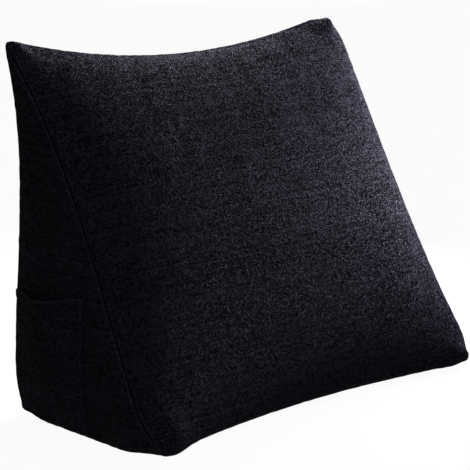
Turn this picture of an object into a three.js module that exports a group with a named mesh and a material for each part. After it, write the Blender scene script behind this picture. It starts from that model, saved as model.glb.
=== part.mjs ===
// A backrest pillow: a stuffed wedge with a sloping front to lean on, an upright back,
// two triangular sides and a flat base, and a hemmed patch pocket on its left side.
// Millimetres, +Z up. X runs along the width and -Y is the side that is leaned on.
import * as THREE from 'three';

// Driving sizes of the sewn wedge, corner to corner
const WIDTH = 450;
const HEIGHT = 363;
const DEPTH = 200;
const TOP_SET_BACK = 10;        // the top edge leans this far behind the back foot
const TOP_RIGHT_IN = 6;         // the top right corner is sewn this far inside the width
const FRONT_FOOT_OUT = 3;       // each front foot corner stands this far outside it
const BACK_FOOT_OUT = 1;
const CORNER_LIFT = 6;          // the foot corners are pulled up off the floor by the stuffing
const TIP_REACH = 25;           // a corner's blunt tip fades out over about this distance

// Driving sizes of the pocket
const POCKET_MOUTH_WIDTH = 104; // from the back seam to the stitched front edge
const POCKET_FOOT_WIDTH = 111;
const POCKET_BACK_HEIGHT = 121; // mouth height at the back seam
const POCKET_FRONT_HEIGHT = 130;
const MOUTH_SAG = 3;            // the mouth hangs this much at its middle
const MOUTH_GAPE = 16;          // the mouth stands this far off the side at its fullest
const MOUTH_PEAK = 0.58;        // which is here, from the back seam (0) to the front edge (1)
const SLACK = 2;                // the higher, the closer the pocket lies to the side near its edges
const CLOTH = 1.2;              // thickness of one layer of the cover cloth
const HEM = 2.3;                // thickness of the folded hem
const HEM_DEPTH = 8;
const HEM_STEP = 1;             // height over which one layer thickens to the hem
const STITCH_GAP = 0.7;         // air between the pocket's edges and the side that they are sewn to
const SEAM_ALLOWANCE = 4;       // the pocket stops this far inside the back and base seams

// Each panel is modelled in this many strips, closer together near the seams where cloth turns
const STRIPS_WIDE = 30;
const STRIPS_HIGH = 20;
const POCKET_STRIPS_WIDE = 14;
const POCKET_STRIPS_HIGH = 12;
const CROWDING = 0.55;

const CLOTH_COLOUR = 0x14131c;
const CLOTH_ROUGHNESS = 0.95;

// The six corners where three panels meet. Stuffing can't fill a point, so each tip is blunt: it
// stands back from the corner by this much, towards the middle of the pillow.
const frontX = WIDTH / 2 + FRONT_FOOT_OUT;
const backX = WIDTH / 2 + BACK_FOOT_OUT;
const topY = DEPTH / 2 + TOP_SET_BACK;
const CORNERS = {
  topLeft: new THREE.Vector3(-WIDTH / 2, topY, HEIGHT),
  topRight: new THREE.Vector3(WIDTH / 2 - TOP_RIGHT_IN, topY, HEIGHT),
  frontLeft: new THREE.Vector3(-frontX, -DEPTH / 2, CORNER_LIFT),
  frontRight: new THREE.Vector3(frontX, -DEPTH / 2, CORNER_LIFT),
  backLeft: new THREE.Vector3(-backX, DEPTH / 2, CORNER_LIFT),
  backRight: new THREE.Vector3(backX, DEPTH / 2, CORNER_LIFT),
};
const BLUNT = { topLeft: 2, topRight: 6, frontLeft: 4, frontRight: 9, backLeft: 3, backRight: 6 };
const MIDDLE = new THREE.Vector3(0, 0, HEIGHT / 3);

// The nine seams. Stuffing draws each one in between its corners: bow is how far it leaves the
// straight line, and peak is where along it that happens, from 0 at its first corner to 1.
const SEAMS = {
  top: { from: 'topLeft', to: 'topRight', bow: [0, -5, -30], peak: 0.49 },
  frontFoot: { from: 'frontLeft', to: 'frontRight', bow: [0, 33, 2], peak: 0.52 },
  backFoot: { from: 'backLeft', to: 'backRight', bow: [0, -10, 1], peak: 0.5 },
  leftFront: { from: 'topLeft', to: 'frontLeft', bow: [12, -4, 1], peak: 0.33 },
  leftBack: { from: 'topLeft', to: 'backLeft', bow: [13, -3, 0], peak: 0.32 },
  leftFoot: { from: 'frontLeft', to: 'backLeft', bow: [3, 0, -1], peak: 0.5 },
  rightFront: { from: 'topRight', to: 'frontRight', bow: [-10, 3, -3], peak: 0.62 },
  rightBack: { from: 'topRight', to: 'backRight', bow: [-9, -3, 0], peak: 0.5 },
  rightFoot: { from: 'frontRight', to: 'backRight', bow: [3, 0, -1], peak: 0.5 },
};

// The stuffing swells each panel along its outward direction by its crown
const slope = Math.hypot(HEIGHT, DEPTH / 2 + topY);
const FORWARD = new THREE.Vector3(0, -HEIGHT / slope, (DEPTH / 2 + topY) / slope);
const PANELS = {
  front: {
    upper: 'top', lower: 'frontFoot', left: 'leftFront', right: 'rightFront',
    outward: FORWARD, crown: 47, fullest: 0.55,
  },
  back: {
    upper: 'top', lower: 'backFoot', left: 'leftBack', right: 'rightBack',
    outward: new THREE.Vector3(0, 1, 0), crown: 30, fullest: 0.55,
  },
  base: {
    upper: 'frontFoot', lower: 'backFoot', left: 'leftFoot', right: 'rightFoot',
    outward: new THREE.Vector3(0, 0, -1), crown: 20, fullest: 0.5,
  },
};
const SIDES = {
  left: {
    top: 'topLeft', front: 'frontLeft', back: 'backLeft',
    frontSeam: 'leftFront', backSeam: 'leftBack', footSeam: 'leftFoot',
    outward: new THREE.Vector3(-1, 0, 0), crown: 13,
  },
  right: {
    top: 'topRight', front: 'frontRight', back: 'backRight',
    frontSeam: 'rightFront', backSeam: 'rightBack', footSeam: 'rightFoot',
    outward: new THREE.Vector3(1, 0, 0), crown: 17,
  },
};

// Evenly counted steps from 0 to 1, crowded towards both ends
function crowded(step) {
  return step - CROWDING * Math.sin(2 * Math.PI * step) / (2 * Math.PI);
}

// A smooth hump over 0 to 1 that is 0 at both ends and 1 at its peak
function hump(t, peak) {
  const rise = peak < 0.5 ? 1 : peak / (1 - peak);
  const fall = peak < 0.5 ? (1 - peak) / peak : 1;
  const height = peak ** rise * (1 - peak) ** fall;
  const inside = Math.min(Math.max(t, 0), 1);
  return inside ** rise * (1 - inside) ** fall / height;
}

// How far a seam has left its straight line at t
function bowOf(seam, t) {
  return new THREE.Vector3(...seam.bow).multiplyScalar(hump(t, seam.peak));
}

function pointOnSeam(name, t) {
  const seam = SEAMS[name];
  const straight = CORNERS[seam.from].clone().lerp(CORNERS[seam.to], t);
  return straight.add(bowOf(seam, t));
}

// A weighted sum of points, given as [weight, point] pairs
function blend(...pairs) {
  const sum = new THREE.Vector3();
  for (const [weight, point] of pairs) sum.addScaledVector(point, weight);
  return sum;
}

// Moves a point near a corner in towards the middle of the pillow
function blunted(point) {
  const moved = point.clone();
  for (const [name, corner] of Object.entries(CORNERS)) {
    const inward = MIDDLE.clone().sub(corner).normalize();
    const fade = Math.exp(-((point.distanceTo(corner) / TIP_REACH) ** 2));
    moved.addScaledVector(inward, BLUNT[name] * fade);
  }
  return moved;
}

// A point of a four-sided panel: a patch stretched between its seams, swollen as an elliptic dome
function pointOnPanel(panel, across, down) {
  const u = 1 - across;
  const v = 1 - down;
  const stretched = blend(
    [v, pointOnSeam(panel.upper, across)], [down, pointOnSeam(panel.lower, across)],
    [u, pointOnSeam(panel.left, down)], [across, pointOnSeam(panel.right, down)],
    [-u * v, pointOnSeam(panel.upper, 0)], [-across * v, pointOnSeam(panel.upper, 1)],
    [-u * down, pointOnSeam(panel.lower, 0)], [-across * down, pointOnSeam(panel.lower, 1)],
  );
  const dome = Math.sqrt(hump(across, 0.5) * hump(down, panel.fullest));
  return blunted(stretched.addScaledVector(panel.outward, panel.crown * dome));
}

// The base is the same kind of panel, pressed flat where it meets the floor
function pointOnBase(across, down) {
  const point = pointOnPanel(PANELS.base, across, down);
  point.z = Math.max(point.z, 0);
  return point;
}

// A point of a triangular side, from its shares of the top, front and back corners
function pointOnSide(side, top, front, back) {
  const point = blend(
    [top, CORNERS[side.top]], [front, CORNERS[side.front]], [back, CORNERS[side.back]],
  );
  const edges = [
    [side.frontSeam, top, front], [side.backSeam, top, back], [side.footSeam, front, back],
  ];
  for (const [name, start, end] of edges) {
    const share = start + end;
    if (share > 0) point.addScaledVector(bowOf(SEAMS[name], end / share), share ** 2);
  }
  const dome = Math.sqrt(Math.max(27 * top * front * back, 0));
  return blunted(point.addScaledVector(side.outward, side.crown * dome));
}

// Points are rounded to this many steps in a millimetre, so that panels that share a seam meet
const STEPS_PER_MM = 1000;

// A closed skin, gathered triangle by triangle
class Skin {
  constructor() {
    this.numbers = [];
  }

  triangle(...corners) {
    for (const corner of corners) {
      for (const value of corner.toArray()) {
        this.numbers.push(Math.round(value * STEPS_PER_MM) / STEPS_PER_MM);
      }
    }
  }

  // A net of points in rows, each row as long as the next. Seen from outside, a step along the
  // row and then one to the next row turns clockwise, unless the net is flipped.
  net(rows, flipped = false) {
    for (let r = 0; r + 1 < rows.length; r += 1) {
      for (let c = 0; c + 1 < rows[r].length; c += 1) {
        const here = rows[r][c];
        const beside = rows[r][c + 1];
        const below = rows[r + 1][c];
        const across = rows[r + 1][c + 1];
        if (flipped) {
          this.triangle(here, across, below);
          this.triangle(here, beside, across);
        } else {
          this.triangle(here, below, across);
          this.triangle(here, across, beside);
        }
      }
    }
  }

  // The same for rows that lose one point each, down to a single corner, seen turning the other way
  fan(rows, flipped = false) {
    const add = (a, b, c) => (flipped ? this.triangle(a, c, b) : this.triangle(a, b, c));
    for (let r = 0; r + 1 < rows.length; r += 1) {
      for (let c = 0; c < rows[r + 1].length; c += 1) {
        add(rows[r][c], rows[r + 1][c], rows[r][c + 1]);
        if (c + 1 < rows[r + 1].length) add(rows[r][c + 1], rows[r + 1][c], rows[r + 1][c + 1]);
      }
    }
  }

  mesh(name) {
    const geometry = new THREE.BufferGeometry();
    geometry.setAttribute('position', new THREE.Float32BufferAttribute(this.numbers, 3));
    geometry.computeVertexNormals();
    const material = new THREE.MeshStandardMaterial({
      color: CLOTH_COLOUR, roughness: CLOTH_ROUGHNESS, metalness: 0,
    });
    const mesh = new THREE.Mesh(geometry, material);
    mesh.name = name;
    return mesh;
  }
}

// Rows of points, by calling point(across, down) on a crowded grid
function rowsOf(point, columns, lines) {
  const rows = [];
  for (let line = 0; line <= lines; line += 1) {
    const row = [];
    for (let column = 0; column <= columns; column += 1) {
      row.push(point(crowded(column / columns), crowded(line / lines)));
    }
    rows.push(row);
  }
  return rows;
}

function rowsOfSide(side) {
  const rows = [];
  for (let line = 0; line <= STRIPS_HIGH; line += 1) {
    const row = [];
    for (let column = 0; column <= STRIPS_HIGH - line; column += 1) {
      const shares = [line, column, STRIPS_HIGH - line - column].map((n) => crowded(n / STRIPS_HIGH));
      const whole = shares[0] + shares[1] + shares[2];
      const [back, front, top] = shares.map((share) => share / whole);
      row.push(pointOnSide(side, top, front, back));
    }
    rows.push(row);
  }
  return rows;
}

// The stuffed wedge: five panels sewn edge to edge around one filling
function cushion() {
  const skin = new Skin();
  const onFront = (across, down) => pointOnPanel(PANELS.front, across, down);
  const onBack = (across, down) => pointOnPanel(PANELS.back, across, down);
  skin.net(rowsOf(onFront, STRIPS_WIDE, STRIPS_HIGH));
  skin.net(rowsOf(onBack, STRIPS_WIDE, STRIPS_HIGH), true);
  skin.net(rowsOf(pointOnBase, STRIPS_WIDE, STRIPS_HIGH));
  skin.fan(rowsOfSide(SIDES.left));
  skin.fan(rowsOfSide(SIDES.right), true);
  return skin.mesh('cushion');
}

// Height of the pocket's mouth above the foot, from the back seam (0) to the front edge (1)
function mouthHeight(forward) {
  const straight = THREE.MathUtils.lerp(POCKET_BACK_HEIGHT, POCKET_FRONT_HEIGHT, forward);
  return straight - MOUTH_SAG * hump(forward, 0.5);
}

// A point of the pocket, forward from the back seam and upward from the foot, both 0 to 1,
// standing clear of the side by the air under it and by extra
function pointOnPocket(forward, upward, extra) {
  const width = THREE.MathUtils.lerp(POCKET_FOOT_WIDTH, POCKET_MOUTH_WIDTH, upward);
  const across = THREE.MathUtils.lerp(SEAM_ALLOWANCE, width, forward);
  const height = THREE.MathUtils.lerp(SEAM_ALLOWANCE, mouthHeight(forward), upward);
  const top = height / (HEIGHT - CORNER_LIFT);
  const front = across / DEPTH;
  const point = pointOnSide(SIDES.left, top, front, 1 - top - front);
  const opening = hump(forward, MOUTH_PEAK) ** SLACK * Math.sin(Math.PI / 2 * upward);
  const air = STITCH_GAP + (MOUTH_GAPE - STITCH_GAP) * opening;
  return point.addScaledVector(SIDES.left.outward, air + extra);
}

// The pocket: one layer of cloth, folded over to a thicker hem along its mouth
function sidePocket() {
  const hemFoot = 1 - HEM_DEPTH / POCKET_BACK_HEIGHT;
  const hemFold = hemFoot + HEM_STEP / POCKET_BACK_HEIGHT;
  const thickness = (upward) => (upward < hemFold ? CLOTH : HEM);
  const levels = [];
  for (let line = 0; line <= POCKET_STRIPS_HIGH; line += 1) {
    levels.push(hemFoot * line / POCKET_STRIPS_HIGH);
  }
  levels.push(hemFold, 1);
  const face = (extra) => levels.map((upward) => {
    const row = [];
    for (let column = 0; column <= POCKET_STRIPS_WIDE; column += 1) {
      row.push(pointOnPocket(crowded(column / POCKET_STRIPS_WIDE), upward, extra(upward)));
    }
    return row;
  });
  const inner = face(() => 0);
  const outer = face(thickness);
  const backEdge = [inner, outer].map((rows) => rows.map((row) => row.at(0)));
  const frontEdge = [inner, outer].map((rows) => rows.map((row) => row.at(-1)));
  const skin = new Skin();
  skin.net(outer, true);
  skin.net(inner);
  skin.net([inner.at(0), outer.at(0)], true);
  skin.net([inner.at(-1), outer.at(-1)]);
  skin.net(backEdge);
  skin.net(frontEdge, true);
  return skin.mesh('side_pocket');
}

// The pillow stands with the middle of its footprint at the origin
const pillow = new THREE.Group();
pillow.add(cushion(), sidePocket());
const extent = new THREE.Box3().setFromObject(pillow);
const middle = extent.getCenter(new THREE.Vector3());
pillow.position.set(-middle.x, -middle.y, -extent.min.z);

export default pillow;
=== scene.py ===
# %% [markdown]
# # A backrest pillow
# A stuffed wedge that stands on a bed or a sofa: a sloping front to lean on, an upright back, two
# triangular sides and a flat base, all cut from one dark, coarse cloth. A small patch pocket is
# sewn to its left side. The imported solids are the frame, and this lesson dresses them.

# %% The frame
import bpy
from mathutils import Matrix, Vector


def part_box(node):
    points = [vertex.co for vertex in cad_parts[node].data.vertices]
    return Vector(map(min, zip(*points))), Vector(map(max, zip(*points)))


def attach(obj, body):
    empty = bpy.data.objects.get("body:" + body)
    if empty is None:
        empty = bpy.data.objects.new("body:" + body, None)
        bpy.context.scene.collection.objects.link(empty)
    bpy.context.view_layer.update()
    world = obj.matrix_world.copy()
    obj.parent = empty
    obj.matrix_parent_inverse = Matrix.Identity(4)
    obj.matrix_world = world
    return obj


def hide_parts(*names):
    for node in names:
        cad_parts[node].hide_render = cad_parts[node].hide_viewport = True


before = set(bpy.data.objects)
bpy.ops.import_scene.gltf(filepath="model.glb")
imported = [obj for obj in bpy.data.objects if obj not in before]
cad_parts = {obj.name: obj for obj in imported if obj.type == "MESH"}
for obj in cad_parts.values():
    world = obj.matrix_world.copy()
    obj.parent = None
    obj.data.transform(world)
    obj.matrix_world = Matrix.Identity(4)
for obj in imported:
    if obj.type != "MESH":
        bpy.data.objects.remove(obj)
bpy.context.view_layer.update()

# %% [markdown]
# The sums are done in numpy, because a soft shape has tens of thousands of points. Lengths are in
# millimetres while the shape is worked out, as on a paper pattern, and become metres in the mesh.

# %% Tools
import math

import bpy
import numpy as np
from mathutils import Vector
from mathutils.kdtree import KDTree

MM = 0.001

# %% [markdown]
# The camera comes first, because it decides which detail is worth making. A long lens from 1.75 m
# away keeps the edges nearly parallel, and it looks at the pillow's left front corner.

# %% Camera
LOOK_AT = Vector((-0.0254, -0.0131, 0.1650))
AZIMUTH, ELEVATION = math.radians(-43.99), math.radians(12.08)
DISTANCE = 1.75
LENS = 136.57

away = Vector((
    math.sin(AZIMUTH) * math.cos(ELEVATION),
    -math.cos(AZIMUTH) * math.cos(ELEVATION),
    math.sin(ELEVATION),
))
bpy.ops.object.camera_add(
    location=LOOK_AT + away * DISTANCE,
    rotation=away.to_track_quat("Z", "Y").to_euler(),
)
camera = bpy.context.object
camera.data.lens = LENS
bpy.context.scene.camera = camera
print("camera at", [round(value, 3) for value in camera.location])

# %% [markdown]
# ## The pattern of the wedge
# A maker draws five panels whose seams aren't straight: the stuffing pulls each seam in between
# its corners. Here a seam is a straight line plus a bow, and a panel is a patch stretched between
# its seams and swollen by its crown. These are the sizes of the solids, so the dressed pillow
# fits them. Only the corner tips are rounder here, as a stuffed bag's are.

# %% Corners and seams
WIDTH, DEPTH, HEIGHT, FOOT = 450, 200, 363, 6
FRONT_LEAN = 210
CORNERS = {
    "top_left": (-225, 110, HEIGHT), "top_right": (219, 110, HEIGHT),
    "front_left": (-228, -100, FOOT), "front_right": (228, -100, FOOT),
    "back_left": (-226, 100, FOOT), "back_right": (226, 100, FOOT),
}
# how far each corner's tip stands back from the point where its seams would meet
BLUNT = {
    "top_left": 5, "top_right": 11, "front_left": 11,
    "front_right": 11, "back_left": 5, "back_right": 8,
}
TIP_REACH = 25
# how round each corner's end is, and how far from the tip that is felt
EARS = {
    "top_left": (3.0, 20), "top_right": (3.0, 20), "front_left": (7.0, 30),
    "front_right": (3.5, 20), "back_left": (5.0, 25), "back_right": (5.0, 25),
}
MIDDLE = np.array((0, 0, 121))

# each seam: from, to, how far it bows, and where along it that happens
SEAMS = {
    "top": ("top_left", "top_right", (0, -5, -30), 0.49),
    "front_foot": ("front_left", "front_right", (0, 33, 2), 0.52),
    "back_foot": ("back_left", "back_right", (0, -10, 1), 0.5),
    "left_front": ("top_left", "front_left", (12, -4, 1), 0.33),
    "left_back": ("top_left", "back_left", (13, -3, 0), 0.32),
    "left_foot": ("front_left", "back_left", (3, 0, -1), 0.5),
    "right_front": ("top_right", "front_right", (-10, 3, -3), 0.62),
    "right_back": ("top_right", "back_right", (-9, -3, 0), 0.5),
    "right_foot": ("front_right", "back_right", (3, 0, -1), 0.5),
}


def hump(t, peak):
    """A smooth hump over 0 to 1 that is 0 at both ends and 1 at its peak."""
    rise = 1 if peak < 0.5 else peak / (1 - peak)
    fall = (1 - peak) / peak if peak < 0.5 else 1
    t = np.clip(t, 0, 1)
    return t**rise * (1 - t)**fall / (peak**rise * (1 - peak)**fall)


def bow_of(seam, t):
    return np.array(SEAMS[seam][2]) * hump(t, SEAMS[seam][3])[..., None]


def on_seam(seam, t):
    start, end = (np.array(CORNERS[name], float) for name in SEAMS[seam][:2])
    t = np.asarray(t, float)
    return start * (1 - t)[..., None] + end * t[..., None] + bow_of(seam, t)


def blunted(points):
    """Stuffing can't fill a point, so each corner's tip stands back towards the middle."""
    moved = points.copy()
    for name, corner in CORNERS.items():
        inward = MIDDLE - corner
        fade = np.exp(-(np.linalg.norm(points - corner, axis=-1) / TIP_REACH)**2)
        moved += (inward / np.linalg.norm(inward)) * (BLUNT[name] * fade)[..., None]
    return moved


def rounded_ears(points):
    """A corner isn't a sharp point either: the cloth turns round it, wide as a finger tip."""
    moved = points.copy()
    for name, corner in CORNERS.items():
        ear, long = EARS[name]
        inward = (MIDDLE - corner) / np.linalg.norm(MIDDLE - corner)
        tip = corner + inward * BLUNT[name]
        along = np.clip((points - tip) @ inward, 0, None)
        radial = points - tip - ((points - tip) @ inward)[..., None] * inward
        wide = np.linalg.norm(radial, axis=-1)
        wider = np.sqrt(wide**2 + 2 * ear * along * np.exp(-(along / long)**2))
        near = np.exp(-(np.linalg.norm(points - tip, axis=-1) / (2 * long))**4)
        scale = 1 + (wider / np.maximum(wide, 1e-6) - 1) * near
        moved += radial * (np.minimum(scale, 6) - 1)[..., None]
    return moved


# %% [markdown]
# A four-sided panel blends its four seams and adds an elliptic dome along its outward direction.
# A triangular side does the same with its shares of three corners. The base is a panel too, and
# the floor presses it flat.

# %% Panels and sides
FRONT_SLOPE = math.hypot(HEIGHT, FRONT_LEAN)
FORWARD = np.array((0, -HEIGHT, FRONT_LEAN)) / FRONT_SLOPE
# each panel: upper, lower, left and right seam, outward direction, crown, where it is fullest
PANELS = {
    "front": ("top", "front_foot", "left_front", "right_front", FORWARD, 47, 0.55),
    "back": ("top", "back_foot", "left_back", "right_back", (0, 1, 0), 30, 0.55),
    "base": ("front_foot", "back_foot", "left_foot", "right_foot", (0, 0, -1), 20, 0.5),
}
# each side: its top, front and back corner, its front, back and foot seam, outward, crown
SIDES = {
    "left": ("top_left", "front_left", "back_left", "left_front", "left_back", "left_foot",
             (-1, 0, 0), 13),
    "right": ("top_right", "front_right", "back_right", "right_front", "right_back", "right_foot",
              (1, 0, 0), 17),
}


def on_panel(name, across, down):
    upper, lower, left, right, outward, crown, fullest = PANELS[name]
    one = np.ones_like(across)
    a, d = across[..., None], down[..., None]
    u, v = 1 - a, 1 - d
    stretched = (
        v * on_seam(upper, across) + d * on_seam(lower, across)
        + u * on_seam(left, down) + a * on_seam(right, down)
        - u * v * on_seam(upper, 0 * one) - a * v * on_seam(upper, one)
        - u * d * on_seam(lower, 0 * one) - a * d * on_seam(lower, one)
    )
    dome = np.sqrt(hump(across, 0.5) * hump(down, fullest))
    points = blunted(stretched + np.array(outward) * (crown * dome)[..., None])
    if name == "base":
        points[..., 2] = np.maximum(points[..., 2], 0)
    return points


def on_side(name, top, front, back):
    *corners, front_seam, back_seam, foot_seam, outward, crown = SIDES[name]
    places = [np.array(CORNERS[corner], float) for corner in corners]
    points = sum(share[..., None] * place for share, place in zip((top, front, back), places))
    for seam, start, end in (
        (front_seam, top, front), (back_seam, top, back), (foot_seam, front, back),
    ):
        share = start + end
        points = points + bow_of(seam, end / np.maximum(share, 1e-9)) * (share**2)[..., None]
    dome = np.sqrt(np.clip(27 * top * front * back, 0, None))
    return blunted(points + np.array(outward) * (crown * dome)[..., None])


# %% [markdown]
# ## The pillow's skin
# A seam is a narrow valley, so the mesh needs points every half millimetre beside it, and only
# every 3 mm in the middle of a panel. Each panel is a grid with such graded steps, and all of
# them use the same steps along a shared seam, so they meet point for point.

# %% Graded grids
FROM_SEAM = np.array((0, 0.4, 0.9, 1.5, 2.2, 3.1, 4.3, 5.8, 7.8))


def graded(steps, size, near=FROM_SEAM):
    """Positions from 0 to 1, close together near both ends of a length of that size."""
    ends = near / size
    middle = np.linspace(ends[-1], 1 - ends[-1], steps - 2 * len(near) + 3)
    return np.concatenate([ends[:-1], middle, 1 - ends[-2::-1]])


ACROSS = graded(160, WIDTH)
DOWN = graded(128, 400)
print(len(ACROSS), "columns and", len(DOWN), "rows to a panel")

# %% [markdown]
# The weave has to follow each panel's straight grain. A panel is cut flat, so every point gets
# the place that it had on the flat cloth: its direction from the panel's middle, at the distance
# measured over the curved cloth, round tips and all. That place becomes the UV map.

# %% Straight grain
GRAIN_STEPS = 24


def flat_place(surface, shares, middle, axes):
    """Where a point lies on the flat panel, in mm: measured over the cloth from its middle."""
    length = 0
    previous = start = surface(*(np.full_like(share, m) for share, m in zip(shares, middle)))
    for step in range(1, GRAIN_STEPS + 1):
        t = step / GRAIN_STEPS
        here = rounded_ears(surface(*(m + t * (share - m) for share, m in zip(shares, middle))))
        length = length + np.linalg.norm(here - previous, axis=-1)
        previous = here
    way = (previous - start) @ np.array(axes, float).T
    return way / np.maximum(np.linalg.norm(way, axis=-1, keepdims=True), 1e-9) * length[..., None]


# %% [markdown]
# Next the panels are gathered into one closed bag. Points that lie on each other become one, but
# each face keeps its own place on its own panel, so the weave breaks at a seam as real cloth
# does. The ready bag is then moved sideways onto the solid's box.

# %% Gathering the panels
class Skin:
    """Panels gathered into one closed mesh. Corners of faces keep their own place on the cloth."""

    def __init__(self):
        self.points, self.flat, self.faces = [], [], []
        self.count = 0

    def add(self, points, flat, faces, flipped):
        self.points.append(points.reshape(-1, 3))
        self.flat.append(flat.reshape(-1, 2))
        for face in faces:
            corners = [corner + self.count for corner in face]
            self.faces.append(corners[::-1] if flipped else corners)
        self.count += points.reshape(-1, 3).shape[0]

    def net(self, points, flat, flipped=False):
        lines, columns = points.shape[:2]
        index = np.arange(lines * columns).reshape(lines, columns)
        quads = np.stack([index[:-1, :-1], index[1:, :-1], index[1:, 1:], index[:-1, 1:]], -1)
        self.add(points, flat, quads.reshape(-1, 4).tolist(), flipped)

    def fan(self, points, flat, rows, flipped=False):
        faces, start = [], 0
        for length in rows[:-1]:
            below = start + length
            for c in range(length - 1):
                faces.append([start + c, below + c, start + c + 1])
                if c + 2 < length:
                    faces.append([start + c + 1, below + c, below + c + 1])
            start = below
        self.add(points, flat, faces, flipped)

    def merged(self):
        """Joins points that lie on each other. Returns points, faces and each corner's place."""
        points, flat = np.concatenate(self.points), np.concatenate(self.flat)
        _, first, same = np.unique(
            np.round(points, 3), axis=0, return_index=True, return_inverse=True,
        )
        self.first, same = first, same.reshape(-1)
        corners = [corner for face in self.faces for corner in face]
        faces = [[int(same[corner]) for corner in face] for face in self.faces]
        return points[first], faces, flat[corners]


def grid(columns, lines):
    down, across = np.meshgrid(lines, columns, indexing="ij")
    return across, down


skin = Skin()
PLANES = {
    "front": ((1, 0, 0), (0, FRONT_LEAN / FRONT_SLOPE, HEIGHT / FRONT_SLOPE)),
    "back": ((1, 0, 0), (0, 0, 1)),
    "base": ((1, 0, 0), (0, 1, 0)),
}
for name, axes in PLANES.items():
    shares = grid(ACROSS, DOWN)
    surface = lambda across, down, name=name: on_panel(name, across, down)
    skin.net(surface(*shares), flat_place(surface, shares, (0.5, 0.5), axes), name == "back")

last = len(DOWN) - 1
side_rows = [last + 1 - line for line in range(last + 1)]
whole = np.array([
    (DOWN[last - line - column], DOWN[column], DOWN[line])
    for line in range(last + 1) for column in range(last + 1 - line)
])
side_shares = tuple((whole / whole.sum(axis=1, keepdims=True)).T)
for name in SIDES:
    surface = lambda top, front, back, name=name: on_side(name, top, front, back)
    flat = flat_place(surface, side_shares, (1 / 3, 1 / 3, 1 / 3), ((0, 1, 0), (0, 0, 1)))
    skin.fan(surface(*side_shares), flat, side_rows, name == "right")

points, faces, flat = skin.merged()
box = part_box("cushion")
lowest, highest = np.array(box[0]) / MM, np.array(box[1]) / MM
SHIFT = (lowest + highest) / 2 - (points.min(0) + points.max(0)) / 2
SHIFT[2] = 0
print(len(points), "points,", len(faces), "faces, moved by", np.round(SHIFT, 2), "mm to the solid")

# %% [markdown]
# The relief of the seams stands out from the bag, so each point needs its outward direction. It
# is taken after the corner tips are rounded, or the seams would crumple there.

# %% Normals
def normals_of(points, faces):
    """Each point's outward direction, weighed by the areas of its faces."""
    corners = np.array([face[:3] + [face[-1]] for face in faces])
    area = np.cross(points[corners[:, 2]] - points[corners[:, 0]],
                    points[corners[:, 3]] - points[corners[:, 1]])
    triangle = corners[:, 2] == corners[:, 3]
    area[triangle] = np.cross(
        points[corners[triangle, 1]] - points[corners[triangle, 0]],
        points[corners[triangle, 2]] - points[corners[triangle, 0]],
    )
    total = np.zeros_like(points)
    for k in range(4):
        chosen = ~triangle if k == 3 else slice(None)
        np.add.at(total, corners[chosen, k], area[chosen])
    return total / np.maximum(np.linalg.norm(total, axis=1, keepdims=True), 1e-12)


smooth = rounded_ears(points) + SHIFT
outward = normals_of(smooth, faces)
middle = (smooth.min(0) + smooth.max(0)) / 2
facing_out = ((smooth - middle) * outward).sum(1) > 0
print("share of normals that face out", round(float(facing_out.mean()), 3))

# %% [markdown]
# ## Letting the stuffing settle
# Flat cloth can't take the shape of a dome without small folds, and they are hard to invent. So a
# remeshed copy of the solid is blown up as cloth for twenty frames, with its seams held still.
# Only a small share of the fine part of how each point moved is kept, since this pillow is
# stuffed tight. It is laid on the graded skin afterwards, because the remesh would rub out the
# seams.

# %% Cloth trial
TRIAL_VOXEL = 0.0055
TRIAL_FRAMES = 20
HELD_NEAR_SEAM = 5
CAP = 3.0
SHARE_KEPT = 0.15
SMOOTHINGS = 40


def seam_samples(step=1.0):
    """Points along all the seams, with each one's distance along its seam, in mm."""
    places, along = [], []
    for seam, (start, end, *_rest) in SEAMS.items():
        count = int(np.linalg.norm(np.subtract(CORNERS[start], CORNERS[end])) / step)
        line = rounded_ears(blunted(on_seam(seam, np.linspace(0, 1, count))))
        run = np.concatenate([[0], np.cumsum(np.linalg.norm(np.diff(line, axis=0), axis=1))])
        places.append(line)
        along.append(run)
    return np.concatenate(places) + SHIFT, np.concatenate(along)


def tree_of(places):
    tree = KDTree(len(places))
    for index, place in enumerate(places):
        tree.insert(place, index)
    tree.balance()
    return tree


seam_places, seam_run = seam_samples()
seam_tree = tree_of(seam_places)


def nearest_seam(points):
    """Distance to the nearest seam, and how far along that seam it is, in mm."""
    found = [seam_tree.find(point) for point in points]
    return np.array([hit[2] for hit in found]), seam_run[[hit[1] for hit in found]]


def spread(values, edges, rounds):
    """Averages values over neighbouring points, again and again."""
    count = np.zeros(len(values))
    np.add.at(count, edges[:, 0], 1)
    np.add.at(count, edges[:, 1], 1)
    for _ in range(rounds):
        total = np.zeros_like(values)
        np.add.at(total, edges[:, 0], values[edges[:, 1]])
        np.add.at(total, edges[:, 1], values[edges[:, 0]])
        values = (values + total / count) / 2
    return values


def coordinates(mesh):
    flat_list = np.empty(len(mesh.vertices) * 3)
    mesh.vertices.foreach_get("co", flat_list)
    return flat_list.reshape(-1, 3) / MM


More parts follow.
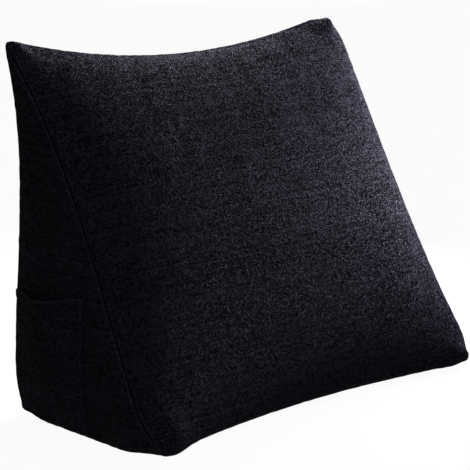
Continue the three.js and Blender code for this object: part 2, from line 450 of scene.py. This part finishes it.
def cloth_trial(node):
    """Blows up a copy of the node. Returns its points and how far each moved outwards, in mm."""
    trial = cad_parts[node].copy()
    trial.data = trial.data.copy()
    trial.name = "trial_bag"
    bpy.context.collection.objects.link(trial)
    bpy.ops.object.select_all(action="DESELECT")
    bpy.context.view_layer.objects.active = trial
    trial.select_set(True)
    bpy.ops.object.mode_set(mode="EDIT")
    bpy.ops.mesh.select_all(action="SELECT")
    bpy.ops.mesh.remove_doubles(threshold=1e-5)
    bpy.ops.object.mode_set(mode="OBJECT")
    trial.data.remesh_voxel_size = TRIAL_VOXEL
    bpy.ops.object.voxel_remesh()
    start = coordinates(trial.data)
    gap, _ = nearest_seam(start)
    held = trial.vertex_groups.new(name="seams")
    for index in np.nonzero((gap < HELD_NEAR_SEAM) | (start[:, 2] < 1))[0]:
        held.add([int(index)], 1.0, "REPLACE")
    cloth = trial.modifiers.new("stuffing", "CLOTH")
    settings = cloth.settings
    settings.quality = 5
    settings.mass = 0.3
    settings.tension_stiffness = settings.compression_stiffness = 12
    settings.shear_stiffness = 3
    settings.bending_stiffness = 0.15
    settings.shrink_min = -0.035
    settings.use_pressure = True
    settings.uniform_pressure_force = 4
    settings.vertex_group_mass = held.name
    settings.effector_weights.gravity = 0
    cloth.collision_settings.use_self_collision = False
    cloth.point_cache.frame_start, cloth.point_cache.frame_end = 1, TRIAL_FRAMES
    scene = bpy.context.scene
    for number in range(1, TRIAL_FRAMES + 1):
        scene.frame_set(number)
    bpy.ops.object.modifier_apply(modifier=cloth.name)
    end = coordinates(trial.data)
    edges = np.array([edge.vertices[:] for edge in trial.data.edges])
    normals = np.empty(len(start) * 3)
    trial.data.vertices.foreach_get("normal", normals)
    moved = ((end - start) * normals.reshape(-1, 3)).sum(1)
    scene.frame_set(1)
    bpy.data.objects.remove(trial)
    print("cloth trial moved", np.round(np.percentile(moved, (1, 50, 99)), 1), "mm")
    fine = moved - spread(moved, edges, SMOOTHINGS)
    return start, np.clip(fine, -CAP, CAP) * SHARE_KEPT


trial_points, trial_folds = cloth_trial("cushion")
trial_tree = tree_of(trial_points)
print("folds kept", np.round(np.percentile(trial_folds, (1, 10, 50, 90, 99)), 2), "mm")


def folds_at(points):
    """The trial's folds, blended from the nearest few of its points."""
    if trial_tree is None:
        return np.zeros(len(points))
    result = []
    for point in points:
        hits = trial_tree.find_n(point, 4)
        weights = [1 / (hit[2] + 0.5) for hit in hits]
        result.append(sum(w * trial_folds[hit[1]] for w, hit in zip(weights, hits)) / sum(weights))
    return np.array(result)


# %% [markdown]
# ## Seams, puckers and lumps
# Where two panels are sewn together the cloth turns in: a valley about a millimetre deep, with a
# low roll on each side where the seam allowance lies under it. The stitches gather the cloth a
# little, which shows as short puckers across the seam. Fibre filling is never quite even, so the
# panels get a slow, shallow unevenness as well.

# %% Relief
VALLEY, VALLEY_WIDE = 1.2, 1.0
ROLL, ROLL_AT, ROLL_WIDE = 0.6, 2.6, 1.5
PUCKER, PUCKER_LENGTH, PUCKER_REACH, PUCKER_STARTS = 0.2, 16, 10, 1.5
PUCKER_STRETCHES = (0.73, 1.0, 1.37, 2.3)
# height and length of each size of lump, and how far from a seam they reach their full height
LUMPS = ((0.5, 170), (0.15, 80))
WAVES_A_LUMP = 5
LUMPS_FROM_SEAM = 25
TIP_CALM = 9


def uneven(points, seed):
    """A slow, shallow unevenness: a few waves in chosen directions for each size of lump."""
    pick = np.random.default_rng(seed)
    total = np.zeros(len(points))
    for height, length in LUMPS:
        for _ in range(WAVES_A_LUMP):
            way = pick.normal(size=3)
            way *= 2 * math.pi / (length * pick.uniform(0.8, 1.3)) / np.linalg.norm(way)
            wave = np.sin(points @ way + pick.uniform(0, 6.28))
            total += height / math.sqrt(WAVES_A_LUMP) * wave
    return total


def puckers(gap, along):
    """Short waves across a seam, from how far off and how far along it a point is."""
    pick = np.random.default_rng(11)
    phases = pick.uniform(0, 6.28, 4)
    wave = sum(
        np.sin(2 * math.pi * along / (PUCKER_LENGTH * stretch) + phase)
        for stretch, phase in zip(PUCKER_STRETCHES, phases)
    ) / 2
    near = np.exp(-gap / PUCKER_REACH) * (1 - np.exp(-(gap / PUCKER_STARTS)**2))
    return PUCKER * wave * near


def away_from_tips(points):
    """0 at a corner's tip, where three seams meet in a tight spot, and 1 a finger's width away."""
    share = np.ones(len(points))
    for name, corner in CORNERS.items():
        tip = corner + (MIDDLE - corner) / np.linalg.norm(MIDDLE - corner) * BLUNT[name] + SHIFT
        share *= 1 - np.exp(-(np.linalg.norm(points - tip, axis=1) / TIP_CALM)**2)
    return share


def relief(points):
    """How far each point of the skin stands out from the pattern's smooth shape, in mm."""
    gap, along = nearest_seam(points)
    valley = -VALLEY * np.exp(-(gap / VALLEY_WIDE)**2)
    roll = ROLL * np.exp(-((gap - ROLL_AT) / ROLL_WIDE)**2)
    slow = uneven(points, 5) * (1 - np.exp(-(gap / LUMPS_FROM_SEAM)**2))
    total = valley + roll + puckers(gap, along) + slow + folds_at(points)
    return total * away_from_tips(points), gap


rise, seam_gap = relief(smooth)
on_floor = smooth[:, 2] < 0.05
rise[on_floor] = 0
dressed = smooth + outward * rise[:, None]
dressed[:, 2] = np.maximum(dressed[:, 2], 0)
print("relief from", round(float(rise.min()), 2), "to", round(float(rise.max()), 2), "mm")

# %% [markdown]
# Now the bag becomes a mesh. Besides its straight grain it carries each point's distance to the
# nearest seam. The cloth reads it to paint shade into the seams' valleys and a highlight on the
# roll beside each seam. It stands in for the imported cushion.

# %% The cushion
def smooth_piece(name, points, faces):
    """A mesh in metres with its object at the origin, smooth all over."""
    mesh = bpy.data.meshes.new(name)
    mesh.from_pydata((points * MM).tolist(), [], faces)
    piece = bpy.data.objects.new(name, mesh)
    bpy.context.collection.objects.link(piece)
    bpy.ops.object.select_all(action="DESELECT")
    bpy.context.view_layer.objects.active = piece
    piece.select_set(True)
    bpy.ops.object.shade_smooth()
    return piece


def cloth_piece(name, points, faces, flat, gap):
    """A smooth piece with its straight grain as UV map, and each point's distance to a seam."""
    piece = smooth_piece(name, points, faces)
    grain = piece.data.uv_layers.new(name="grain")
    grain.data.foreach_set("uv", (flat * MM).ravel())
    seam_mark = piece.data.attributes.new("seam_gap", "FLOAT", "POINT")
    seam_mark.data.foreach_set("value", gap * MM)
    return piece


cushion = cloth_piece("stuffed_cushion", dressed, faces, flat, seam_gap)
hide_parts("cushion")
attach(cushion, "root")
print(cushion.name, sum(len(face) - 2 for face in faces), "triangles")

# %% [markdown]
# ## The cloth
# The cover is a coarse chenille: a plain weave of fluffy threads, nearly black with a hint of
# navy, with paler fibres that catch the light as fine flecks. A weave could be a repeated
# picture, but a pattern worked out by shader maths has no edges and follows the straight grain in
# the UV map. One small class lets an ordinary Python expression add the nodes.

# %% Shader maths
class Wire:
    """A socket that can be used in sums: each sum adds its Math node."""

    def __init__(self, dye, socket):
        self.dye, self.socket = dye, socket

    def _sum(self, operation, first, second=0.0):
        return self.dye.node("ShaderNodeMath", {"operation": operation}, {0: first, 1: second})

    def __add__(self, other): return self._sum("ADD", self, other)
    def __radd__(self, other): return self._sum("ADD", other, self)
    def __sub__(self, other): return self._sum("SUBTRACT", self, other)
    def __rsub__(self, other): return self._sum("SUBTRACT", other, self)
    def __mul__(self, other): return self._sum("MULTIPLY", self, other)
    def __rmul__(self, other): return self._sum("MULTIPLY", other, self)
    def __truediv__(self, other): return self._sum("DIVIDE", self, other)
    def __pow__(self, other): return self._sum("POWER", self, other)
    def floor(self): return self._sum("FLOOR", self)
    def part(self): return self._sum("FRACT", self)
    def cosine(self): return self._sum("COSINE", self)
    def larger(self, other): return self._sum("MAXIMUM", self, other)


class Dye:
    """One material being mixed."""

    def __init__(self, name):
        self.material = bpy.data.materials.new(name)
        self.material.use_nodes = True
        self.tree = self.material.node_tree
        self.tree.nodes.clear()

    def node(self, kind, settings=None, values=None, output=0):
        made = self.tree.nodes.new(kind)
        for key, value in (settings or {}).items():
            setattr(made, key, value)
        for key, value in (values or {}).items():
            if isinstance(value, Wire):
                self.tree.links.new(value.socket, made.inputs[key])
            else:
                made.inputs[key].default_value = value
        return Wire(self, made.outputs[output]) if made.outputs else made

    def outputs(self, wire):
        """All the outputs of a wire's node, as wires."""
        return [Wire(self, socket) for socket in wire.socket.node.outputs]

    def noise(self, place, scale, detail, roughness, output=0):
        """Soft blotches over the flat cloth, scale of them to a metre."""
        return self.node(
            "ShaderNodeTexNoise", {"noise_dimensions": "2D"},
            {"Vector": place, "Scale": scale, "Detail": detail, "Roughness": roughness},
            output=output,
        )

    def between(self, low, high, share):
        """A colour that goes from low to high with share."""
        return self.node(
            "ShaderNodeMix", {"data_type": "RGBA"}, {0: share, 6: low, 7: high}, output=2,
        )

    def grade(self, value, low, high, start=0.0, end=1.0):
        """value from low..high moved to start..end, no further."""
        return self.node(
            "ShaderNodeMapRange", {"clamp": True},
            {"Value": value, "From Min": low, "From Max": high, "To Min": start, "To Max": end},
        )


# %% [markdown]
# Threads run along the two directions of the grain map, 1.2 mm apart. A thread rides over one
# crossing and under the next, which is a cosine along it whose sign changes from thread to
# thread. The higher of the two threads is the one that shows. Slow noise bends the threads a
# little, since chenille is never quite straight, and a finer one gives each thread its loose
# pile. White noise gives each crossing a shade and a tilt of its own: that makes the flecks, and
# the grain in a low light.

# %% Cover cloth
THREAD = 0.0012
WANDER = (0.0007, 0.0005, 0)
DARK = (0.0035, 0.0028, 0.0046, 1)
PALE = (0.234, 0.220, 0.340, 1)
# painted shade for the seams' valleys
SEAM_PAINTED_SHADE = (0.0028, 0.0023, 0.0038, 1)
RELIEF = 0.0016


def cover_cloth():
    dye = Dye("cover_cloth")
    place = dye.node("ShaderNodeUVMap", {"uv_map": "grain"})

    # the place on the cloth in threads, a little bent
    wander = dye.noise(place, 260.0, 2.0, 0.6, output="Color")
    shifted = dye.node(
        "ShaderNodeVectorMath", {"operation": "SUBTRACT"}, {0: wander, 1: (0.5, 0.5, 0.5)},
    )
    moved = dye.node(
        "ShaderNodeVectorMath", {"operation": "MULTIPLY_ADD"}, {0: shifted, 1: WANDER, 2: place},
    )
    u, v, _ = dye.outputs(dye.node("ShaderNodeSeparateXYZ", None, {0: moved}))
    u, v = u / THREAD, v / THREAD
    column, line = u.floor(), v.floor()

    # warp and weft: +1 for every other thread and -1 for those between
    odd_column = (column / 2).part() * 4 - 1
    odd_line = (line / 2).part() * 4 - 1
    warp_ride = 0.5 - 0.5 * odd_column * ((v - 0.5) * math.pi).cosine()
    weft_ride = 0.5 + 0.5 * odd_line * ((u - 0.5) * math.pi).cosine()
    warp_round = 1 - (u.part() * 2 - 1) ** 2
    weft_round = 1 - (v.part() * 2 - 1) ** 2
    warp = (0.35 + 0.65 * warp_ride) * warp_round
    weft = (0.35 + 0.65 * weft_ride) * weft_round
    threads = warp.larger(weft)

    # loose pile, and what each crossing and each double row has of its own
    pile = dye.noise(place, 1500.0, 2.0, 0.6)
    tuft = dye.noise(place, 700.0, 2.0, 0.6)
    crossing = dye.node("ShaderNodeCombineXYZ", None, {0: column, 1: line})
    own = dye.node(
        "ShaderNodeTexWhiteNoise", {"noise_dimensions": "2D"}, {"Vector": crossing}, output="Color",
    )
    own_shade, lean_u, lean_v = dye.outputs(dye.node("ShaderNodeSeparateXYZ", None, {0: own}))
    row = dye.node(
        "ShaderNodeTexWhiteNoise", {"noise_dimensions": "1D"}, {"W": (v / 2).floor()},
    )
    checker = odd_column * odd_line
    fleck = dye.grade(
        0.75 * own_shade + 0.28 * checker + 0.5 * pile + 0.2 * row + 0.08 * odd_line, 0.6, 1.0,
    )
    lean = (lean_u - 0.5) * u.part() + (lean_v - 0.5) * v.part()
    patchy = dye.noise(place, 22.0, 3.0, 0.55)

    # painted shade in a seam's valley, and a painted highlight on the roll beside it
    gap = dye.node("ShaderNodeAttribute", {"attribute_name": "seam_gap"}, output="Fac")
    # painted shade: the colour goes darker towards the middle of a seam's valley
    painted_seam_shade = dye.grade(gap, 0.0002, 0.0011, 0.9, 0)
    # painted highlight: a paler band on the roll beside each seam and along the pocket's free edges
    painted_roll_highlight = dye.grade(gap, 0.0009, 0.0014) * dye.grade(gap, 0.0022, 0.0032, 1, 0)

    # painted shade: the pale flecks fade to the dark colour in the gaps between the threads, where
    # shade falls
    painted_gap_shade = dye.grade(threads, 0.15, 0.6)
    worn = dye.grade(patchy, 0.3, 0.7, 0.85, 1.1)
    colour = dye.between(DARK, PALE, 0.32 * painted_roll_highlight + fleck * painted_gap_shade * worn)
    colour = dye.between(colour, SEAM_PAINTED_SHADE, painted_seam_shade)
    height = threads * 0.3 + lean * 4.2 + pile * 0.2 + tuft * 0.2
    bump = dye.node(
        "ShaderNodeBump", None, {"Strength": 1.0, "Distance": RELIEF, "Height": height},
    )
    shader = dye.node("ShaderNodeBsdfPrincipled", None, {
        "Base Color": colour,
        "Roughness": dye.grade(fleck, 0, 1, 0.8, 0.5),
        "Normal": bump,
        "Specular IOR Level": 0.10,
        "Specular Tint": (0.86, 0.82, 1.0, 1),
        "Sheen Weight": 0.03,
        "Sheen Roughness": 0.45,
        "Sheen Tint": (0.75, 0.72, 1.0, 1),
    })
    dye.node("ShaderNodeOutputMaterial", None, {"Surface": shader})
    return dye.material


cloth = cover_cloth()
cushion.data.materials.append(cloth)
print("cover cloth:", len(cloth.node_tree.nodes), "nodes")

# %% [markdown]
# ## The pocket
# A patch of the same cloth. Its back and bottom edges are caught in the pillow's seams, its front
# edge is turned under and stitched down, and its mouth has a folded hem. Put on a full cushion,
# the mouth stands open a little. It is made as two graded faces, an inner and an outer one, that
# meet in rounded edges, and it follows the dressed side point for point so that it never sinks
# into it.

# %% Pocket sizes
MOUTH_WIDE, FOOT_WIDE = 104, 111
BACK_HIGH, FRONT_HIGH = 121, 130
SAG, GAPE, GAPE_AT, SLACK = 3, 16, 0.58, 2
CLOTH_THICK, HEM_THICK, HEM_DEEP = 1.2, 2.4, 8
TURNED, TURNED_SHARE = 7, 0.7
HEM_STEP, TURNED_STEP = 0.25, 0.4
CLEAR = 0.35
POCKET_LEFT = 3.0
# painted highlight: shifts the pocket's edge distances so that its free edges take a seam roll's
# painted highlight and none of a seam's painted shade
EDGE_HIGHLIGHT_SHIFT = 1.2

EDGE_STEPS = np.array((0, 0.15, 0.4, 0.8, 1.4, 2.1, 2.6, 3.1, 3.9, 5.0, 6.2, 7.2, 8.4, 10))
FORWARDS = graded(70, 100, EDGE_STEPS)
UPWARDS = graded(84, 121, EDGE_STEPS)


def mouth_height(forward):
    return BACK_HIGH + (FRONT_HIGH - BACK_HIGH) * forward - SAG * hump(forward, 0.5)


def beneath_pocket(forward, upward):
    """The side's shares of its corners under a point of the pocket."""
    width = FOOT_WIDE + (MOUTH_WIDE - FOOT_WIDE) * upward
    across = POCKET_LEFT + (width - POCKET_LEFT) * forward
    height = POCKET_LEFT + (mouth_height(forward) - POCKET_LEFT) * upward
    top, front = height / (HEIGHT - FOOT), across / DEPTH
    return top, front, 1 - top - front


skin_tree = tree_of(smooth)
skin_move = dressed - smooth


def on_dressed_side(forward, upward):
    """Points of the dressed left side under the pocket, blended from the skin's nearest points."""
    base = on_side("left", *beneath_pocket(forward, upward)) + SHIFT
    moved = base.copy().reshape(-1, 3)
    for index, point in enumerate(base.reshape(-1, 3)):
        hits = skin_tree.find_n(point, 4)
        weights = [1 / (hit[2] + 0.3) for hit in hits]
        moved[index] += sum(w * skin_move[hit[1]] for w, hit in zip(weights, hits)) / sum(weights)
    return moved.reshape(base.shape)


forward, upward = grid(FORWARDS, UPWARDS)
side_points = on_dressed_side(forward, upward)
from_front = (1 - forward) * MOUTH_WIDE
from_back = forward * MOUTH_WIDE
from_mouth = (1 - upward) * mouth_height(forward)
from_foot = upward * mouth_height(forward)

to_edge = np.minimum.reduce([from_front, from_back, from_mouth, from_foot])
hemmed = 1 / (1 + np.exp((from_mouth - HEM_DEEP) / HEM_STEP))
turned = 1 / (1 + np.exp((from_front - TURNED) / TURNED_STEP))
thick = CLOTH_THICK + (HEM_THICK - CLOTH_THICK) * np.maximum(hemmed, TURNED_SHARE * turned)
rounding = np.sqrt(1 - (1 - np.clip(to_edge / (thick / 2), 0, 1))**2)
opening = hump(forward, GAPE_AT)**SLACK * np.sin(math.pi / 2 * upward)
air = CLEAR + (GAPE - CLEAR) * opening
print("pocket stands off its side by", round(float(air.max()), 1), "mm at most")


# %% [markdown]
# A stitch pulls the cloth down to a dimple, and the thread shows on top of it. The stitches are 3
# mm long with a small space between them, along the front edge and just above the hem's lower
# end.

# %% Pocket stitches
STITCH, SPACE, FIRST_STITCH = 3.2, 1.3, 1.5
STITCH_FROM_EDGE, STITCH_ON_HEM = 2.6, HEM_DEEP - 1.4
DIMPLE_DEEP, DIMPLE_WIDE = 0.45, 3.0 ** 0.5
MEAN_HIGH = 125


def stitch_line(forwards, upwards):
    """Stitches along a line on the pocket: each one's two ends as (forward, upward)."""
    line = on_side("left", *beneath_pocket(forwards, upwards))
    run = np.concatenate([[0], np.cumsum(np.linalg.norm(np.diff(line, axis=0), axis=1))])
    starts = np.arange(FIRST_STITCH, run[-1] - STITCH, STITCH + SPACE)
    ends = starts + STITCH
    return [
        ((np.interp(a, run, forwards), np.interp(a, run, upwards)),
         (np.interp(b, run, forwards), np.interp(b, run, upwards)))
        for a, b in zip(starts, ends)
    ]


upwards, forwards = np.linspace(0.02, 0.98, 200), np.linspace(0.02, 0.97, 200)
down_front = stitch_line(np.full(200, 1 - STITCH_FROM_EDGE / MOUTH_WIDE), upwards)
on_hem = stitch_line(forwards, 1 - STITCH_ON_HEM / mouth_height(forwards))
stitches = down_front + on_hem

dimple = np.zeros_like(forward)
stitch_mid = np.array([[(a + b) / 2 for a, b in zip(*ends)] for ends in stitches])
for f, u in stitch_mid:
    off = np.hypot((forward - f) * MOUTH_WIDE, (upward - u) * MEAN_HIGH)
    dimple = np.maximum(dimple, np.exp(-(off / DIMPLE_WIDE)**2))

inner = side_points + np.array((-1, 0, 0)) * (air + thick / 2 * (1 - rounding))[..., None]
outer = side_points + np.array((-1, 0, 0)) * (
    air + thick / 2 * (1 + rounding) - DIMPLE_DEEP * dimple * rounding
)[..., None]

pocket_skin = Skin()
place = np.stack([side_points[..., 1], side_points[..., 2]], -1)
pocket_skin.net(outer, place, True)
pocket_skin.net(inner, place)
pocket_points, pocket_faces, pocket_flat = pocket_skin.merged()
# the pocket's free edges are folds, so they get the painted highlight that lies on the roll beside
# a seam
painted_highlight_gap = np.tile(np.minimum(from_mouth, from_front).ravel(), 2)[pocket_skin.first] + EDGE_HIGHLIGHT_SHIFT
pocket = cloth_piece("side_pocket_patch", pocket_points, pocket_faces, pocket_flat, painted_highlight_gap)
pocket.data.materials.append(cloth)
print(pocket.name, sum(len(face) - 2 for face in pocket_faces), "triangles")

# %% [markdown]
# The sewing thread is a thick, slightly shiny one. One stitch is made as a small rounded bead,
# long and flat, and every other stitch is a copy of it, laid in its dimple from needle hole to
# needle hole.

# %% Sewing thread
THREAD_WIDE, STITCH_LIFT, STITCH_FLAT = 0.55, 0.12, 0.7
THREAD_DARK, THREAD_PALE = (0.020, 0.017, 0.026, 1), (0.065, 0.056, 0.082, 1)


def on_pocket(ends):
    """Places on the pocket's outer face for (forward, upward), blended from its grid."""
    f = np.interp(ends[..., 0], FORWARDS, np.arange(len(FORWARDS)))
    u = np.interp(ends[..., 1], UPWARDS, np.arange(len(UPWARDS)))
    column = np.minimum(f.astype(int), len(FORWARDS) - 2)
    line = np.minimum(u.astype(int), len(UPWARDS) - 2)
    a, d = (f - column)[..., None], (u - line)[..., None]
    return (
        outer[line, column] * (1 - a) * (1 - d) + outer[line, column + 1] * a * (1 - d)
        + outer[line + 1, column] * (1 - a) * d + outer[line + 1, column + 1] * a * d
    )


bpy.ops.object.select_all(action="DESELECT")
bpy.ops.mesh.primitive_uv_sphere_add(segments=8, ring_count=5, radius=0.5)
bead = bpy.context.object
bead_points = coordinates(bead.data) * MM
bead_faces = [list(face.vertices) for face in bead.data.polygons]
bpy.data.objects.remove(bead)

holes = on_pocket(np.array(stitches))
thread_points, thread_faces = [], []
for start, end in holes:
    along = (end - start) / np.linalg.norm(end - start)
    aside = np.cross(along, (-1, 0, 0))
    aside /= np.linalg.norm(aside)
    out = np.cross(aside, along)
    axes = np.stack([aside * THREAD_WIDE, out * THREAD_WIDE * STITCH_FLAT, along * STITCH])
    before = len(thread_points) * len(bead_points)
    thread_faces += [[corner + before for corner in face] for face in bead_faces]
    thread_points.append(bead_points @ axes + (start + end) / 2 + out * STITCH_LIFT)
thread_points = np.concatenate(thread_points)

sewing = Dye("sewing_thread")
where = sewing.node("ShaderNodeTexCoord", output="Object")
twist = sewing.node(
    "ShaderNodeTexNoise", None, {"Vector": where, "Scale": 2500.0, "Detail": 1.0},
)
gloss = sewing.node("ShaderNodeBsdfPrincipled", None, {
    "Base Color": sewing.between(THREAD_DARK, THREAD_PALE, twist),
    "Roughness": sewing.grade(twist, 0.3, 0.7, 0.35, 0.55),
    "Normal": sewing.node(
        "ShaderNodeBump", None, {"Strength": 0.5, "Distance": 0.0002, "Height": twist},
    ),
})
sewing.node("ShaderNodeOutputMaterial", None, {"Surface": gloss})

pocket_stitches = smooth_piece("pocket_stitches", thread_points, thread_faces)
pocket_stitches.data.materials.append(sewing.material)
thread_volume = sum(
    float(np.dot(
        thread_points[face[0]], np.cross(thread_points[face[i]], thread_points[face[i + 1]]),
    )) / 6
    for face in thread_faces for i in range(1, len(face) - 1)
)
print(len(stitches), "stitches,", round(thread_volume, 1), "cubic mm, positive if faces point out")

# %% [markdown]
# ## Floor and light
# The floor is plain and pale, and a wide pale room stands round it, so no view shows a horizon.
# Both glow a little by themselves and throw no light on the cloth, which leaves the shade as deep
# as in a studio with dark walls.

# %% Floor and room
FLOOR_SIZE, ROOM_RADIUS = 30, 14
FLOOR_COLOUR, FLOOR_GLOW, ROOM_GLOW = 0.25, 0.95, 1.0

bpy.ops.mesh.primitive_plane_add(size=FLOOR_SIZE)
floor = bpy.context.object
floor.name = "floor"
bpy.ops.mesh.primitive_uv_sphere_add(segments=48, ring_count=24, radius=ROOM_RADIUS)
room = bpy.context.object
room.name = "room"
for stage_piece, own_colour, glow in ((floor, FLOOR_COLOUR, FLOOR_GLOW), (room, 0.0, ROOM_GLOW)):
    paint = Dye(stage_piece.name + "_paint")
    paper = paint.node("ShaderNodeBsdfPrincipled", None, {
        "Base Color": (own_colour, own_colour, own_colour, 1), "Roughness": 1.0,
        "Specular IOR Level": 0.0, "Emission Color": (1, 1, 1, 1), "Emission Strength": glow,
    })
    paint.node("ShaderNodeOutputMaterial", None, {"Surface": paper})
    stage_piece.data.materials.append(paint.material)
    stage_piece.visible_diffuse = stage_piece.visible_glossy = False
room.visible_shadow = False
print("floor", FLOOR_SIZE, "m wide, room", 2 * ROOM_RADIUS, "m across")

# %% [markdown]
# Two soft lamps stand close by at the pillow's right, one low beside it and one higher behind it.
# They graze the sloping front: bright at its right edge and along the top, and dark towards the
# pocket. The coarse threads show because of that. A weak, wide lamp in front and a dim sky keep
# the shade from going black.

# %% Lamps
# each lamp: place, what it points at, size, watts, tint
LAMPS = {
    "side_lamp": ((0.443, -0.047, 0.243), (0, 0, 0.18), 0.18, 0.85, (0.87, 0.86, 1)),
    "back_lamp": ((0.471, 0.272, 0.434), (0, 0, 0.18), 0.30, 3.1, (0.87, 0.86, 1)),
    "fill": ((0, -2.165, 1.43), (0, 0, 0.18), 1.25, 2.0, (0.94, 0.92, 1)),
}
for name, (spot, aim, size, watts, tint) in LAMPS.items():
    way = Vector(spot) - Vector(aim)
    bpy.ops.object.light_add(
        type="AREA", location=spot, rotation=way.to_track_quat("Z", "Y").to_euler(),
    )
    lamp = bpy.context.object
    lamp.name = name
    lamp.data.size = size
    lamp.data.energy = watts
    lamp.data.color = tint

SKY_COLOUR, SKY_STRENGTH = (1, 0.92, 0.86, 1), 0.050
sky = bpy.data.worlds.new("studio")
sky.use_nodes = True
backdrop = sky.node_tree.nodes["Background"]
backdrop.inputs["Color"].default_value = SKY_COLOUR
backdrop.inputs["Strength"].default_value = SKY_STRENGTH
bpy.context.scene.world = sky
bpy.context.scene.view_settings.view_transform = "Standard"
print(len(LAMPS), "lamps and a sky at", SKY_STRENGTH)

# %% [markdown]
# Last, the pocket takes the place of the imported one. It is a sheet: flat on the cutting table it
# is 112 mm wide and 142 mm high, with its hem still open. Its stitches go with it.

# %% Last pieces
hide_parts("side_pocket")
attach(pocket, "root")
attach(pocket_stitches, "root")
